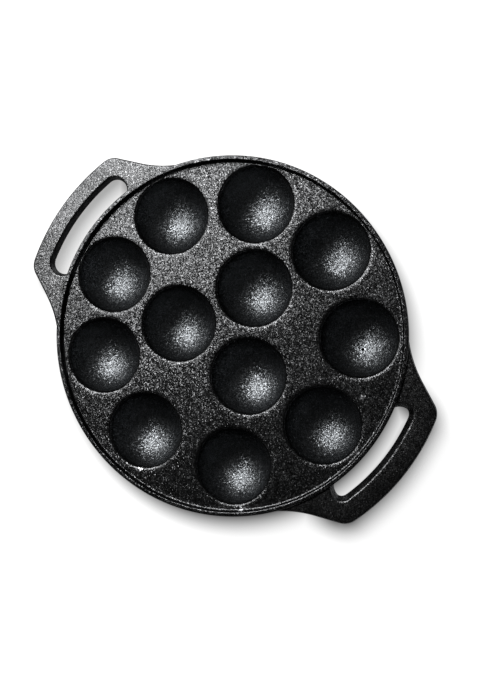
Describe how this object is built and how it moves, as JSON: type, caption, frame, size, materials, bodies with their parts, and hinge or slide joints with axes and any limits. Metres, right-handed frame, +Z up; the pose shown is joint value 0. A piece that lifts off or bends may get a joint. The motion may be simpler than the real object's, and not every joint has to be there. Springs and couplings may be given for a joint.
{
  "type": "aebleskiver pan",
  "caption": "Round cast-iron pan with near-hemispherical cups let into a flat deck, a low rim and a broad loop handle on each side.",
  "frame": {"origin": "middle of the pan in plan, on the plane that the cups stand on", "axes": "+X along the handles towards the front handle, +Z up, +Y completes the right-handed frame"},
  "size_m": [0.294, 0.24, 0.029],
  "materials": {
    "iron_deck": "matt black seasoned iron with a fine sand-cast grain",
    "iron_rim": "matt black seasoned iron, edges rubbed a little brighter",
    "iron_cup": "black seasoned iron, smoother and slightly glossier than the deck",
    "iron_handle": "matt black seasoned iron with a fine sand-cast grain"
  },
  "bodies": {
    "root": {"deck_plate": "iron_deck", "rim_wall": "iron_rim", "outer_cup_1": "iron_cup", "outer_cup_2": "iron_cup", "outer_cup_3": "iron_cup", "outer_cup_4": "iron_cup", "outer_cup_5": "iron_cup", "outer_cup_6": "iron_cup", "outer_cup_7": "iron_cup", "outer_cup_8": "iron_cup", "outer_cup_9": "iron_cup", "centre_cup_1": "iron_cup", "centre_cup_2": "iron_cup", "centre_cup_3": "iron_cup", "front_grip": "iron_handle", "front_arm_left": "iron_handle", "front_arm_right": "iron_handle", "rear_grip": "iron_handle", "rear_arm_left": "iron_handle", "rear_arm_right": "iron_handle"}
  },
  "joints": []
}
